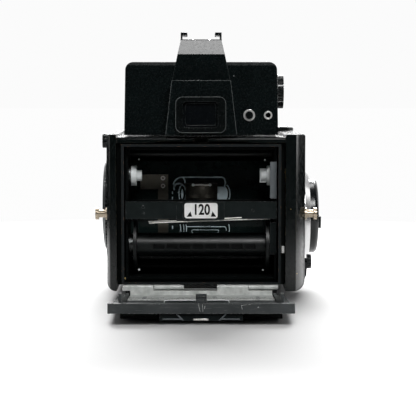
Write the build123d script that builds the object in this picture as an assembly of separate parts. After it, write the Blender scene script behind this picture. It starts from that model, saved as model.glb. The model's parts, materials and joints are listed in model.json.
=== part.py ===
from build123d import *
import math
import os

# Medium format reflex camera with a metering prism finder, its hinged back open and its roll film
# insert in the chamber. Millimetres, +Z up, +Y out through the lens, origin at the tripod socket's
# mouth. A depth is measured from the plane of the rear rim towards the lens.

REAR_Y = -55.0            # rear rim plane, behind the tripod socket
RUN = 0.05                # radial clearance of a shaft in its bore

# Chamber and casings
CHAMBER_HALF = 37.1
CHAMBER_LOW, CHAMBER_TOP = 7.7, 73.2
CHAMBER_DEPTH = 34.0      # the film runs across the gate at this depth
RIM_HALF, RIM_LOW, RIM_TOP = 38.4, 6.9, 74.4
GROOVE_DEPTH = 3.0        # the rim stands this far behind the casting's shoulder
FRAME_LEFT, FRAME_RIGHT = -40.6, 40.4
FRAME_LOW, FRAME_TOP = 6.4, 74.8
LEFT_FACE, RIGHT_FACE = -45.5, 50.4
CASE_LOW, CASE_TOP = 3.5, 79.0
TOP_PLATE_TOP = 77.8
BODY_DEPTH = 92.0
COVER_WALL = 1.4
BASE_TOP = 3.4
TRIPOD_R, TRIPOD_DEEP = 3.175, 5.5
BATTERY_X, BATTERY_DEPTH = -27.0, 28.0
SCREW_SPOTS = ((-32, 10), (32, 10), (-32, 78), (32, 78))
SCREW_R, SCREW_RISE = 1.7, (0.2, 1.2)

# Front plate: shutter release and self timer
RELEASE_X, RELEASE_Z = 36.4, 20.0
RELEASE_R = 3.05
TIMER_X, TIMER_Z = -35.5, 30.0
TIMER_R = 1.6

# Optics
LENS_Z = 41.4
GATE_HALF_X, GATE_HALF_Z = 28.0, 20.75
GATE_WALL = 2.5
FLANGE_DEPTH = 97.0
MIRROR_BOX_HALF, MIRROR_BOX_LOW = 30.0, 13.0
MIRROR_HINGE = (43.0, 66.0)          # depth, height
MIRROR_LENGTH = 46.0
MIRROR_PIN_R = 0.8

# Hinge and door, in the door's own axes: reach from the hinge pin, rise above it
HINGE_Z = 5.4
HINGE_R, PIN_R = 1.2, 0.6
DOOR_TILT = 3.2           # the open door leans up by this angle
DOOR_HALF, DOOR_REACH = 40.4, 72.6
DOOR_FLOOR = (-5.2, -4.2)
DOOR_BAR = (-5.4, -1.1)
DOOR_BAR_START = 67.8
PANEL_HALF = 35.2
LEAF_HALF = 34.2
DOOR_KNUCKLES = ((-38.0, -23.0), (7.6, 22.7))
BODY_KNUCKLES = ((-22.8, -8.4), (22.9, 37.0))

# Film insert
INSERT_HALF = 36.7
INSERT_LOW, INSERT_TOP = 8.1, 72.8
INSERT_DEPTH = (6.0, 32.0)
INSERT_PLATE = (28.2, 29.4)
SPOOL_DEPTH = 15.5
UPPER_Z, LOWER_Z = 58.6, 24.5
SPOOL_HALF, SPOOL_FLANGE_R, SPOOL_CORE_R = 32.95, 12.5, 5.8
BAND_Z = (38.2, 46.6)
ROLLER_DEPTH, ROLLER_Z = 29.0, (68.8, 12.3)
STUD_R, ROLLER_PIN_R = 2.0, 0.8

# Right side: winding
WIND_DEPTH, WIND_Z = 45.0, 36.2
WIND_BASE_R, CRANK_R = 23.8, 19.0
WIND_BASE_FACE, CRANK_FACE = 54.6, 59.0
GEAR_MODULE, GEAR_TEETH = 0.95, 20
GEAR_X = (42.6, 46.6)
SHAFT_END = 54.8
SHAFT_R = 2.2
LEVER_DEPTH, LEVER_Z = 30.0, 8.6

# Left side, strap studs and the finder's release
DISC_DEPTH, DISC_Z = 52.0, 41.0
LUG_DEPTH, LUG_Z = 13.0, 40.0
LOCK_DEPTH, LOCK_Z, LOCK_R = 14.0, 75.7, 1.4

# Finder
FINDER_REAR = 5.0
FINDER_LOW, FINDER_TOP = 78.6, 113.7
FINDER_HALF, FINDER_HALF_TOP = 37.1, 36.4
FINDER_FRONT, FINDER_CORNER = 90.0, 3.8
SHOE_Z = 124.5
BUTTON_X, SOCKET_X, BUTTON_Z = 23.1, 32.2, 88.2
BUTTON_R = 1.85
SPEED_X, SPEED_DEPTH = 39.6, 66.0
DIAL_DEPTH, DIAL_Z = 25.0, 99.7
DIAL_PIN_R = 1.6

# Lens
BARREL_R = 29.6
RING_PLAY = 0.05


def deep(distance):
    """Y of a depth measured from the rear rim plane."""
    return REAR_Y + distance


def middle(span):
    return (span[0] + span[1]) / 2


def length(span):
    return span[1] - span[0]


def block(x, d, z):
    """Box between pairs of limits in X, depth and Z."""
    return Pos(middle(x), deep(middle(d)), middle(z)) * Box(length(x), length(d), length(z))


def along_x(radius, x, d, z):
    return Pos(middle(x), deep(d), z) * Rot(0, 90, 0) * Cylinder(radius, length(x))


def along_y(radius, d, x, z):
    return Pos(x, deep(middle(d)), z) * Rot(90, 0, 0) * Cylinder(radius, length(d))


def along_z(radius, z, x, d):
    return Pos(x, deep(d), middle(z)) * Cylinder(radius, length(z))


def rear_plane(depth):
    """Plane seen from behind: X to the right, Z up, facing away from the lens."""
    return Plane(origin=(0, deep(depth), 0), x_dir=(1, 0, 0), z_dir=(0, -1, 0))


def side_plane(x):
    """Plane seen from the right: Y to the right, Z up, facing +X."""
    return Plane(origin=(x, 0, 0), x_dir=(0, 1, 0), z_dir=(1, 0, 0))


def rear_view(sketch, d):
    """Extrudes an X-Z sketch through a pair of depths."""
    return extrude(rear_plane(d[1]) * sketch, length(d), dir=(0, -1, 0))


def side_view(points, x):
    """Extrudes an outline of (depth, height) points between two X."""
    outline = Polygon(*[(deep(d), z) for d, z in points], align=None)
    return extrude(side_plane(x[0]) * outline, length(x), dir=(1, 0, 0))


def top_view(points, z):
    """Extrudes an outline of (X, depth) points between two heights."""
    outline = Polygon(*[(x, deep(d)) for x, d in points], align=None)
    return extrude(Plane.XY.offset(z[0]) * outline, length(z), dir=(0, 0, 1))


def rounded(x, z, radius):
    """X-Z rectangle between pairs of limits with round corners."""
    return Pos(middle(x), middle(z)) * RectangleRounded(length(x), length(z), radius)


def star(radius, inner, count, turn=0.0, share=0.5):
    """Toothed outline: count teeth whose tips take this share of the pitch."""
    points = []
    pitch = 2 * math.pi / count
    for k in range(count):
        centre = turn + k * pitch
        for offset, r in ((-0.5, inner), (-0.5 * share, radius), (0.5 * share, radius)):
            angle = centre + offset * pitch
            points.append((r * math.cos(angle), r * math.sin(angle)))
    return Polygon(*points, align=None)


def knurl_x(radius, x, d, z, count):
    """Knurled disc on an axis along X."""
    plane = Plane(origin=(x[0], deep(d), z), x_dir=(0, 1, 0), z_dir=(1, 0, 0))
    return extrude(plane * star(radius, radius - 0.5, count), length(x), dir=(1, 0, 0))


def knurl_y(radius, d, z, count):
    """Knurled ring on the lens axis."""
    plane = Plane(origin=(0, deep(d[1]), z), x_dir=(1, 0, 0), z_dir=(0, -1, 0))
    return extrude(plane * star(radius, radius - 0.7, count), length(d), dir=(0, -1, 0))


def ring_y(outer, inner, d, x=0.0, z=LENS_Z):
    return along_y(outer, d, x, z) - along_y(inner, (d[0] - 1, d[1] + 1), x, z)


# ---------------------------------------------------------------- casting, covers and plates

def body_frame():
    """Casting: film chamber, film gate wall and mirror box."""
    shape = block((FRAME_LEFT, FRAME_RIGHT), (GROOVE_DEPTH, BODY_DEPTH), (FRAME_LOW, FRAME_TOP))
    shape += block((-RIM_HALF, RIM_HALF), (0, GROOVE_DEPTH + 1), (RIM_LOW, RIM_TOP))
    shape -= block((-CHAMBER_HALF, CHAMBER_HALF), (-1, CHAMBER_DEPTH), (CHAMBER_LOW, CHAMBER_TOP))
    gate = (LENS_Z - GATE_HALF_Z, LENS_Z + GATE_HALF_Z)
    shape -= block((-GATE_HALF_X, GATE_HALF_X), (CHAMBER_DEPTH - 1, BODY_DEPTH), gate)
    box_start = CHAMBER_DEPTH + GATE_WALL
    shape -= block((-MIRROR_BOX_HALF, MIRROR_BOX_HALF), (box_start, BODY_DEPTH + 1), (MIRROR_BOX_LOW, 80))
    for z in (gate[0] - 2.0, gate[1] + 2.0):
        shape += block((-33, 33), (CHAMBER_DEPTH - 0.8, CHAMBER_DEPTH + 0.5), (z - 0.8, z + 0.8))
    mirror_bore = (-MIRROR_BOX_HALF - 2.2, MIRROR_BOX_HALF + 2.2)
    shape -= along_x(MIRROR_PIN_R + RUN, mirror_bore, *MIRROR_HINGE)
    drive = drive_axis()
    shape -= along_x(3.5, (CHAMBER_HALF - 1, FRAME_RIGHT + 1), drive[0], drive[1])
    shape -= along_x(2.3, (CHAMBER_HALF - 3, FRAME_RIGHT + 1), idler_axis()[0], idler_axis()[1])
    shape -= along_x(2.3, (MIRROR_BOX_HALF + 4, FRAME_RIGHT + 1), WIND_DEPTH, WIND_Z)
    shape -= along_y(3.4, (BODY_DEPTH - 4, BODY_DEPTH + 1), RELEASE_X, RELEASE_Z)
    return shape


def cover(face, inner, rear_points, sign):
    """Side shell: its rear outline crossed with its plan outline, then hollowed."""
    low, high = min(face, inner), max(face, inner)
    spread = (low - 12 * (sign > 0), high + 12 * (sign < 0))
    lower = rear_view(rounded(spread, (CASE_LOW, 50), 4.5), (0, BODY_DEPTH))
    upper = rear_view(rounded(spread, (30, CASE_TOP), 1.2), (0, BODY_DEPTH))
    solid = (lower + upper) & top_view(rear_points, (0, 90))
    height = (CASE_LOW + 4, CASE_TOP - 3)
    for reach, start in ((face - sign * COVER_WALL, 7.0), (inner + sign * 0.68 * (abs(face - inner)), 3.6)):
        solid -= block(sorted((inner - sign, reach)), (start, BODY_DEPTH - 6), height)
    return solid


def left_side_cover():
    inner = FRAME_LEFT - 0.2
    plan = [(inner, 0), (LEFT_FACE + 1.6, 0), (LEFT_FACE, 2.4), (LEFT_FACE, 84), (inner, BODY_DEPTH)]
    shape = cover(LEFT_FACE, inner, plan, -1)
    return shape - along_x(LOCK_R + RUN, (LEFT_FACE - 1, LEFT_FACE + 3), LOCK_DEPTH, LOCK_Z)


def right_side_cover():
    inner = FRAME_RIGHT + 0.2
    plan = [(inner, 0), (45.6, 0), (RIGHT_FACE, 7), (RIGHT_FACE, 84), (inner + 3, BODY_DEPTH),
            (inner, BODY_DEPTH)]
    shape = cover(RIGHT_FACE, inner, plan, 1)
    return shape - along_x(3.3, (RIGHT_FACE - 3, RIGHT_FACE + 1), WIND_DEPTH, WIND_Z)


def top_plate():
    """Plate under the finder with the screen's window and the door latch's notch."""
    top = TOP_PLATE_TOP
    profile = [(0.0, 74.9), (0.0, top - 0.9), (0.9, top), (BODY_DEPTH, top), (BODY_DEPTH, 74.9)]
    shape = side_view(profile, (FRAME_LEFT, FRAME_RIGHT))
    shape -= block((-29.5, 29.5), (40, 90), (70, 80))
    return shape - block((-3.2, 3.2), (-1, 4.0), (75.1, 77.3))


def base_plate():
    outline = [(-34, 3.5), (34, 3.5), (37, 6.5), (37, 84), (32, 89), (-32, 89), (-37, 84), (-37, 6.5)]
    shape = top_view(outline, (0, BASE_TOP))
    shape += block((-33, 33), (6.5, 84), (BASE_TOP - 1, FRAME_LOW - 0.2))
    shape -= along_z(TRIPOD_R, (-1, TRIPOD_DEEP), 0, -REAR_Y)
    for x, d in SCREW_SPOTS:
        shape -= along_z(SCREW_R + RUN, (-1, SCREW_RISE[1]), x, d)
    return shape - along_z(8.3, (-1, 4), BATTERY_X, BATTERY_DEPTH)


def battery_cover():
    cap = along_z(8.0, (0.15, 3.0), BATTERY_X, BATTERY_DEPTH)
    return cap - block((BATTERY_X - 6, BATTERY_X + 6), (BATTERY_DEPTH - 0.7, BATTERY_DEPTH + 0.7), (-1, 1.2))


def front_plate():
    outline = rounded((-40, 44), (3.8, 78.2), 4)
    shape = rear_view(outline, (BODY_DEPTH + 0.05, BODY_DEPTH + 3))
    shape -= along_y(29, (BODY_DEPTH - 1, BODY_DEPTH + 5), 0, LENS_Z)
    shape -= along_y(RELEASE_R, (BODY_DEPTH - 1, BODY_DEPTH + 5), RELEASE_X, RELEASE_Z)
    return shape - along_y(TIMER_R, (BODY_DEPTH - 1, BODY_DEPTH + 5), TIMER_X, TIMER_Z)


def release_button():
    face = BODY_DEPTH + 3.0
    shape = along_y(5.0, (face + 2.2, face + 5.4), RELEASE_X, RELEASE_Z)
    shape += along_y(RELEASE_R - RUN, (BODY_DEPTH + 0.6, face + 2.4), RELEASE_X, RELEASE_Z)
    return shape - along_y(1.2, (face + 2, face + 6), RELEASE_X, RELEASE_Z)


def self_timer_lever():
    face = BODY_DEPTH + 3.2
    shape = along_y(4.2, (face, face + 2.4), TIMER_X, TIMER_Z)
    shape += along_y(TIMER_R - RUN, (BODY_DEPTH + 0.4, face + 1), TIMER_X, TIMER_Z)
    shape += block((TIMER_X - 1.9, TIMER_X + 1.9), (face + 0.4, face + 2.4), (TIMER_Z - 15, TIMER_Z))
    return shape + along_y(1.9, (face + 0.4, face + 3.4), TIMER_X, TIMER_Z - 15)


def lens_mount_ring():
    return ring_y(33.0, 27.0, (BODY_DEPTH + 3.05, FLANGE_DEPTH))


# ---------------------------------------------------------------- inside the mirror box

def shutter_curtains():
    z = LENS_Z
    lower = block((-29.6, 29.6), (37.0, 37.4), (z - 24, z + 1.0))
    upper = block((-29.6, 29.6), (37.7, 38.1), (z - 1.0, z + 24))
    rollers = [along_x(1.8, (-29.6, 29.6), 39.5, h) for h in (z - 26.2, z + 26.2)]
    return Compound(children=[lower, upper] + rollers)


def on_mirror(shape):
    """Turns a shape drawn level from the mirror's hinge down to its viewing angle."""
    hinge = Location((0, deep(MIRROR_HINGE[0]), MIRROR_HINGE[1]))
    return hinge * Rot(-45, 0, 0) * shape


def mirror_holder():
    plate = Pos(0, MIRROR_LENGTH / 2, 0) * Box(54, MIRROR_LENGTH, 1.2)
    tube = Rot(0, 90, 0) * Cylinder(1.4, 54)
    axle = Rot(0, 90, 0) * Cylinder(MIRROR_PIN_R, 2 * MIRROR_BOX_HALF + 4)
    return on_mirror(plate + tube + axle)


def mirror_glass():
    return on_mirror(Pos(0, MIRROR_LENGTH / 2 + 1.0, 1.35) * Box(52, MIRROR_LENGTH - 4, 1.4))


def focusing_screen():
    return block((-29.45, 29.45), (40.05, 89.95), (75.4, 77.4))


# ---------------------------------------------------------------- hinge and door

def on_door(shape):
    """Places a shape drawn in the door's own axes: X, -Y along its reach, Z above the pin."""
    return Location((0, REAR_Y, HINGE_Z)) * Rot(-DOOR_TILT, 0, 0) * shape


def door_block(x, reach, rise):
    return Pos(middle(x), -middle(reach), middle(rise)) * Box(length(x), length(reach), length(rise))


def knuckle(x):
    tube = Pos(middle(x), 0, 0) * Rot(0, 90, 0) * Cylinder(HINGE_R, length(x))
    return tube - Pos(middle(x), 0, 0) * Rot(0, 90, 0) * Cylinder(PIN_R + RUN, length(x) + 2)


def door_hinge_leaf():
    """Bare sheet leaf: knuckles, a drop to the door's floor, and a flat riveted to it."""
    shape = door_block((-LEAF_HALF, LEAF_HALF), (0.62, 25.0), (-4.15, -3.6))
    shape += door_block((-LEAF_HALF, LEAF_HALF), (0.62, 1.17), (-4.15, -1.5))
    for x in DOOR_KNUCKLES:
        shape += knuckle(x)
        shape += door_block(x, (0.62, 1.17), (-1.6, -0.2))
    return on_door(shape)


def hinge_leaf_body():
    shape = block((-37.0, 37.0), (2.3, 2.95), (3.8, 6.5))
    for x in BODY_KNUCKLES:
        shape += Location((0, REAR_Y, HINGE_Z)) * knuckle(x)
        shape += block(x, (0.8, 2.5), (4.6, 5.2))
    return shape


def hinge_pin():
    return along_x(PIN_R, (-38.3, 37.2), 0, HINGE_Z)


def door_rims():
    """Two thin side walls that rise from the hinge towards the free end."""
    outline = Polygon((-5, -4.3), (-5, -2.4), (-42, -0.5), (-62, 2.7), (-66.5, 2.7), (-66.5, -4.3),
                      align=None)
    wall = extrude(side_plane(0) * outline, 1.3, dir=(1, 0, 0))
    return Pos(34.6, 0, 0) * wall + Pos(-35.9, 0, 0) * wall


def latch_hook():
    """Catch on the inside of the free edge that enters the top plate's notch."""
    stem = door_block((-2.4, 2.4), (70.2, 71.4), (-1.2, 3.0))
    return stem - door_block((-3, 3), (70.8, 72), (0.4, 1.8))


def back_door():
    shape = door_block((-DOOR_HALF, DOOR_HALF), (2.4, DOOR_REACH), DOOR_FLOOR)
    shape += door_block((-DOOR_HALF, DOOR_HALF), (DOOR_BAR_START, DOOR_REACH), DOOR_BAR)
    shape += door_rims() + latch_hook()
    corners = shape.edges().filter_by(Axis.Z).group_by(Axis.Y)[0]
    return on_door(fillet(corners, 1.2))


def door_outer_panel():
    """Covering on the outside, thin at the hinge and swelling to the free end."""
    outline = Polygon((-7, -5.25), (-7, -5.7), (-64, -8.35), (-67.2, -8.1), (-67.2, -5.25),
                      align=None)
    shape = extrude(side_plane(-PANEL_HALF) * outline, 2 * PANEL_HALF, dir=(1, 0, 0))
    return on_door(shape - door_block((-18.3, 18.3), (60.5, 72), (-10, -5.2)))


def latch_housing():
    """Frame of the catch on the outside, with a trapezium window for its slide."""
    outline = Polygon((-18, 60.8), (18, 60.8), (18, 71.4), (-18, 71.4), align=None)
    window = Polygon((-11, 62.6), (11, 62.6), (8, 70), (-8, 70), align=None)
    flat = extrude(outline, 3.3, dir=(0, 0, 1)) - Pos(0, 0, 1.1) * extrude(window, 9, dir=(0, 0, 1))
    return on_door(Location((0, 0, -5.45), (180, 0, 0)) * flat)


def latch_slide():
    """Sliding catch plate with its thumb rib."""
    plate = door_block((-5, 5), (63.6, 69.0), (-8.1, -6.8))
    rib = door_block((-4.2, 4.2), (65.2, 66.8), (-8.7, -8.0))
    return on_door(plate + rib)


def door_latch_cover():
    outline = Pos(-2, -59) * RectangleRounded(29.4, 16.6, 3)
    shape = Pos(0, 0, -4.15) * extrude(outline, 2.55, dir=(0, 0, 1))
    shape -= door_block((-4, 3.6), (61, 64), (-3, 0))
    return on_door(shape + door_block((-2, 2), (58, 66.6), (-1.7, -1.2)))


# ---------------------------------------------------------------- film insert

def insert_frame():
    """Two end plates joined by cross rails at the top, the bottom and behind the film."""
    d0, d1 = INSERT_DEPTH
    shape = block((-INSERT_HALF, -35.4), (d0, d1), (INSERT_LOW, INSERT_TOP))
    shape += block((35.4, INSERT_HALF), (d0, d1), (INSERT_LOW, INSERT_TOP))
    for z in ((INSERT_LOW, 9.6), (71.4, INSERT_TOP)):
        shape += block((-35.5, 35.5), (d0 + 1, d0 + 12), z)
    for z in (39.7, 45.3):
        shape += block((-35.5, 35.5), (23.6, INSERT_PLATE[0] - 0.8), (z - 0.7, z + 0.7))
    for z in (UPPER_Z, LOWER_Z):
        shape -= along_x(STUD_R + RUN, (-40, 40), SPOOL_DEPTH, z)
    for z in ROLLER_Z:
        shape -= along_x(ROLLER_PIN_R + RUN, (-40, 40), ROLLER_DEPTH, z)
    return shape


def insert_back_plate():
    return rear_view(rounded((-35.3, 35.3), (16.0, 65.0), 2), INSERT_PLATE)


def pressure_plate():
    front = (INSERT_PLATE[1] + 1.8, INSERT_PLATE[1] + 3.0)
    shape = rear_view(rounded((-31.5, 31.5), (18.6, 64.2), 1.5), front)
    for x in (-20, 20):
        shape += along_y(1.5, (front[0] - 0.8, front[0] + 0.2), x, LENS_Z)
    return shape


def roller(z):
    shape = along_x(1.7, (-35.0, 35.0), ROLLER_DEPTH, z)
    return shape + along_x(ROLLER_PIN_R, (-36.2, 36.2), ROLLER_DEPTH, z)


def upper_roller():
    return roller(ROLLER_Z[0])


def lower_roller():
    return roller(ROLLER_Z[1])


def insert_band():
    """Bowed strap across the back with its two anchor blocks and the label's holder."""
    shape = block((-36.2, 36.2), (2.8, 3.6), BAND_Z)
    for x in ((-36.6, -31.2), (28.6, 36.6)):
        shape += block(x, (2.9, 6.0), BAND_Z)
    holder = rounded((-8.8, 8.4), (37.9, 46.7), 1.0)
    return shape + rear_view(holder, (2.3, 3.2))


def label_plate():
    return rear_view(rounded((-8.1, 7.9), (38.6, 46.0), 1.2), (2.0, 2.28))


def insert_springs():
    """Bronze leaves that hold the film roll, riveted to the back plate."""
    face = INSERT_PLATE[0]
    leaf, strip = (face - 0.75, face - 0.25), (face - 0.65, face - 0.05)
    shape = block((-30.4, -22.4), leaf, (50.9, 58.4))
    shape += block((-21.7, -16.5), strip, (29.3, 58.4))
    shape += block((-22.6, -21.5), leaf, (51.0, 58.3))
    for z in (52.7, 56.6):
        shape += along_y(1.3, (face - 1.2, face - 0.6), -19.1, z)
    return Compound(children=[shape, block((-7.9, 8.1), (face - 1.6, face - 0.05), (46.3, 54.1))])


def film_spool():
    """Empty roll film spool with drive slots along its core."""
    shape = along_x(SPOOL_CORE_R, (-SPOOL_HALF, SPOOL_HALF), SPOOL_DEPTH, LOWER_Z)
    for side in (-1, 1):
        edge = sorted((side * SPOOL_HALF, side * (SPOOL_HALF - 1.5)))
        shape += along_x(SPOOL_FLANGE_R, edge, SPOOL_DEPTH, LOWER_Z)
    ribs = 8
    pitch = 51.2 / ribs
    depth, height = (SPOOL_DEPTH - 7, SPOOL_DEPTH - 3.4), (LOWER_Z - 1.6, LOWER_Z + 1.0)
    for k in range(ribs):
        x = -24.0 + k * pitch
        shape -= block((x + 0.5, x + pitch - 0.5), depth, height)
    return shape - along_x(2.3, (-40, 40), SPOOL_DEPTH, LOWER_Z)


def supply_studs():
    """Two end studs that carry the spool."""
    studs = []
    for side in (-1, 1):
        stud = along_x(2.2, sorted((side * 29.0, side * 35.4)), SPOOL_DEPTH, LOWER_Z)
        stud += along_x(5.4, sorted((side * 33.4, side * 35.35)), SPOOL_DEPTH, LOWER_Z)
        studs.append(stud)
    return Compound(children=studs)


def hub(inner_x, flange_x, wall_x, flange_r, boss_r):
    """Spool end: boss, flange and the shaft through the insert's end plate."""
    low, high = sorted((inner_x, flange_x))
    shape = along_x(boss_r, (low, high), SPOOL_DEPTH, UPPER_Z)
    shape += along_x(flange_r, sorted((flange_x, wall_x)), SPOOL_DEPTH, UPPER_Z)
    end = math.copysign(INSERT_HALF - 0.1, inner_x)
    return shape + along_x(STUD_R, sorted((wall_x, end)), SPOOL_DEPTH, UPPER_Z)


def take_up_idle_hub():
    return hub(-29.1, -31.7, -35.1, 5.1, 2.75)


def take_up_hub():
    shape = hub(29.4, 32.2, 35.1, 4.9, 2.65)
    key = block((28.8, 32.0), (SPOOL_DEPTH - 0.6, SPOOL_DEPTH + 0.6), (UPPER_Z - 3.4, UPPER_Z + 3.4))
    return shape + key


# ---------------------------------------------------------------- winding

def drive_axis():
    return SPOOL_DEPTH, UPPER_Z


def idler_axis():
    """Depth and height of the idler, one gear spacing from both other axes."""
    spacing = GEAR_MODULE * GEAR_TEETH
    d0, z0 = WIND_DEPTH, WIND_Z
    d1, z1 = drive_axis()
    span = math.hypot(d1 - d0, z1 - z0)
    rise = math.sqrt(spacing ** 2 - (span / 2) ** 2)
    return (d0 + d1) / 2 + rise * (z1 - z0) / span, (z0 + z1) / 2 - rise * (d1 - d0) / span


def bearing(start, end):
    """Angle of the line from one (depth, height) axis to another."""
    return math.atan2(end[1] - start[1], end[0] - start[0])


def gear(axis, tooth_angle):
    plane = Plane(origin=(GEAR_X[0], deep(axis[0]), axis[1]), x_dir=(0, 1, 0), z_dir=(1, 0, 0))
    pitch_r = GEAR_MODULE * GEAR_TEETH / 2
    points = []
    pitch = 2 * math.pi / GEAR_TEETH
    shape = ((-0.32, -1.15), (-0.1, 0.8), (0.1, 0.8), (0.32, -1.15))
    for k in range(GEAR_TEETH):
        for offset, rise in shape:
            angle = tooth_angle + (k + offset) * pitch
            r = pitch_r + rise * GEAR_MODULE
            points.append((r * math.cos(angle), r * math.sin(angle)))
    return extrude(plane * Polygon(*points, align=None), length(GEAR_X), dir=(1, 0, 0))


def gear_phases():
    """Tooth angles that put the three equal gears in mesh."""
    pitch = 2 * math.pi / GEAR_TEETH
    wind, idler, drive = (WIND_DEPTH, WIND_Z), idler_axis(), drive_axis()
    first = bearing(wind, idler)
    second = first + math.pi + pitch / 2
    line = bearing(idler, drive)
    lag = (line - second) / pitch
    third = line + math.pi + (lag - 0.5) * pitch
    return first, second, third


def wind_gear():
    shape = gear((WIND_DEPTH, WIND_Z), gear_phases()[0])
    return shape + along_x(SHAFT_R, (37.5, SHAFT_END), WIND_DEPTH, WIND_Z)


def idler_gear():
    d, z = idler_axis()
    return gear((d, z), gear_phases()[1]) + along_x(SHAFT_R, (37.6, 48.2), d, z)


def spool_drive_gear():
    d, z = drive_axis()
    return gear((d, z), gear_phases()[2]) + along_x(3.4, (37.2, 43), d, z)


def wind_base():
    shape = along_x(WIND_BASE_R, (RIGHT_FACE + 0.05, WIND_BASE_FACE), WIND_DEPTH, WIND_Z)
    rim = shape.edges().filter_by(GeomType.CIRCLE).sort_by(Axis.X)[-1]
    shape = chamfer(rim, 2.6)
    shape -= along_x(20.2, (WIND_BASE_FACE - 1.4, 60), WIND_DEPTH, WIND_Z)
    return shape - along_x(SHAFT_R + RUN, (40, 60), WIND_DEPTH, WIND_Z)


def crank_disc():
    disc = along_x(CRANK_R, (CRANK_FACE - 5.5, CRANK_FACE), WIND_DEPTH, WIND_Z)
    outer = disc.edges().filter_by(GeomType.CIRCLE).sort_by(Axis.X)[-1]
    disc = fillet(outer, 2.2)
    disc -= along_x(SHAFT_R, (50, SHAFT_END), WIND_DEPTH, WIND_Z)
    return disc - along_x(3.7, (CRANK_FACE - 3.4, CRANK_FACE + 1), WIND_DEPTH - 11, WIND_Z - 2.1)


def crank_arm():
    """Folded arm with its hinge barrel at one end and its knob in the disc's pocket."""
    z = (31.2, 37.0)
    near = CRANK_FACE + 0.3
    shape = block((near, near + 1.0), (WIND_DEPTH - 14.5, WIND_DEPTH + 12), z)
    shape += along_z(1.0, z, near + 0.9, WIND_DEPTH + 12)
    return shape + along_x(3.0, (CRANK_FACE - 2.8, near + 0.2), WIND_DEPTH - 11, WIND_Z - 2.1)


def multi_exposure_lever():
    shape = along_x(3.0, (RIGHT_FACE + 0.3, 52.4), LEVER_DEPTH, LEVER_Z)
    shape += side_view([(28.2, 7.0), (32.0, 9.2), (26.0, 16.6), (22.0, 14.8)], (51.4, 52.9))
    return shape + knurl_x(3.6, (52.7, 54.8), 24.0, 15.1, 22)


# ---------------------------------------------------------------- left side, lugs and fasteners

def reminder_dial():
    shape = knurl_x(28.4, (-48.0, LEFT_FACE - 0.3), DISC_DEPTH, DISC_Z, 90)
    return shape - along_x(23.3, (-50, -40), DISC_DEPTH, DISC_Z)


def dial_cap():
    shape = along_x(23.0, (-49.6, LEFT_FACE - 0.05), DISC_DEPTH, DISC_Z)
    rim = shape.edges().filter_by(GeomType.CIRCLE).sort_by(Axis.X)[0]
    return chamfer(rim, 1.2)


def finder_release_button():
    shape = knurl_x(3.5, (-48.1, -46.1), LOCK_DEPTH, LOCK_Z, 20)
    return shape + along_x(LOCK_R, (-46.3, LEFT_FACE + 0.6), LOCK_DEPTH, LOCK_Z)


def strap_lugs():
    """Strap studs on both sides: a flared foot, a neck and a head."""
    lugs = []
    for face, side in ((LEFT_FACE, -1), (RIGHT_FACE, 1)):
        lug = along_x(3.0, sorted((face + side * 0.05, face + side * 1.2)), LUG_DEPTH, LUG_Z)
        lug += along_x(1.9, sorted((face + side * 1.1, face + side * 5.0)), LUG_DEPTH, LUG_Z)
        lug += along_x(2.9, sorted((face + side * 4.6, face + side * 6.2)), LUG_DEPTH, LUG_Z)
        lugs.append(lug)
    return Compound(children=lugs)


def base_screws():
    return Compound(children=[along_z(SCREW_R, SCREW_RISE, x, d) for x, d in SCREW_SPOTS])


# ---------------------------------------------------------------- finder

def finder_outline():
    points = ((-FINDER_HALF, FINDER_LOW), (FINDER_HALF, FINDER_LOW),
              (FINDER_HALF_TOP, FINDER_TOP), (-FINDER_HALF_TOP, FINDER_TOP))
    sketch = Polygon(*points, align=None)
    return fillet(sketch.vertices().group_by(Axis.Y)[-1], FINDER_CORNER)


def prism_housing():
    """Housing with the ridge under the shoe and the hooded eyepiece mount."""
    rear, front, low, top = FINDER_REAR, FINDER_FRONT, FINDER_LOW, FINDER_TOP
    profile = [(rear, low), (rear, top - 1.5), (rear + 1.5, top), (58, top), (front, 92), (front, low)]
    plan = [(-FINDER_HALF, rear), (FINDER_HALF, rear), (FINDER_HALF, 48), (27, 49), (27, front),
            (-27, front), (-27, 49), (-FINDER_HALF, 48)]
    shape = rear_view(finder_outline(), (0, front))
    shape = shape & side_view(profile, (-50, 50)) & top_view(plan, (70, 130))
    ridge = Polygon((-14.1, 104), (14.1, 104), (9.9, SHOE_Z), (-9.9, SHOE_Z), align=None)
    ridge_side = [(rear - 0.6, 104), (rear - 0.6, 117.4), (14, SHOE_Z), (58, SHOE_Z), (84, 97), (84, 96)]
    shape += rear_view(ridge, (0, front)) & side_view(ridge_side, (-20, 20))
    hood = Polygon((-17.0, low), (17.0, low), (14.1, 104.8), (-14.1, 104.8), align=None)
    shape += rear_view(hood, (-1.6, rear + 1))
    shape -= rear_view(rounded((-9.6, 9.0), (80.9, 96.2), 1.5), (-5, 12))
    shape -= block((-30, 30), (12, 46), (low - 1, 90))
    shape -= block((-24.5, 24.5), (40, 86), (low - 1, 90))
    shape -= block((-27, 27), (12, 46), (89, 110)) + block((-24.5, 24.5), (40, 58), (89, 108))
    for x, r in ((BUTTON_X, BUTTON_R), (SOCKET_X, 1.2)):
        shape -= along_y(r, (rear - 2, rear + 4), x, BUTTON_Z)
    return shape - along_x(DIAL_PIN_R, (30, 45), DIAL_DEPTH, DIAL_Z)


def pentaprism():
    points = [(14, 90.5), (56, 90.5), (56, 96), (40, 107), (20, 107), (14, 100)]
    return side_view(points, (-23.5, 23.5))


def eyepiece_frame():
    outline = rounded((-12.2, 11.8), (79.9, 97.0), 3)
    return rear_view(outline - rounded((-8.6, 7.9), (82.4, 94.7), 1.6), (-3.6, -1.65))


def eyepiece_lens():
    return rear_view(rounded((-9.5, 8.9), (81.0, 96.1), 1.4), (-1.5, 1.0))


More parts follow.
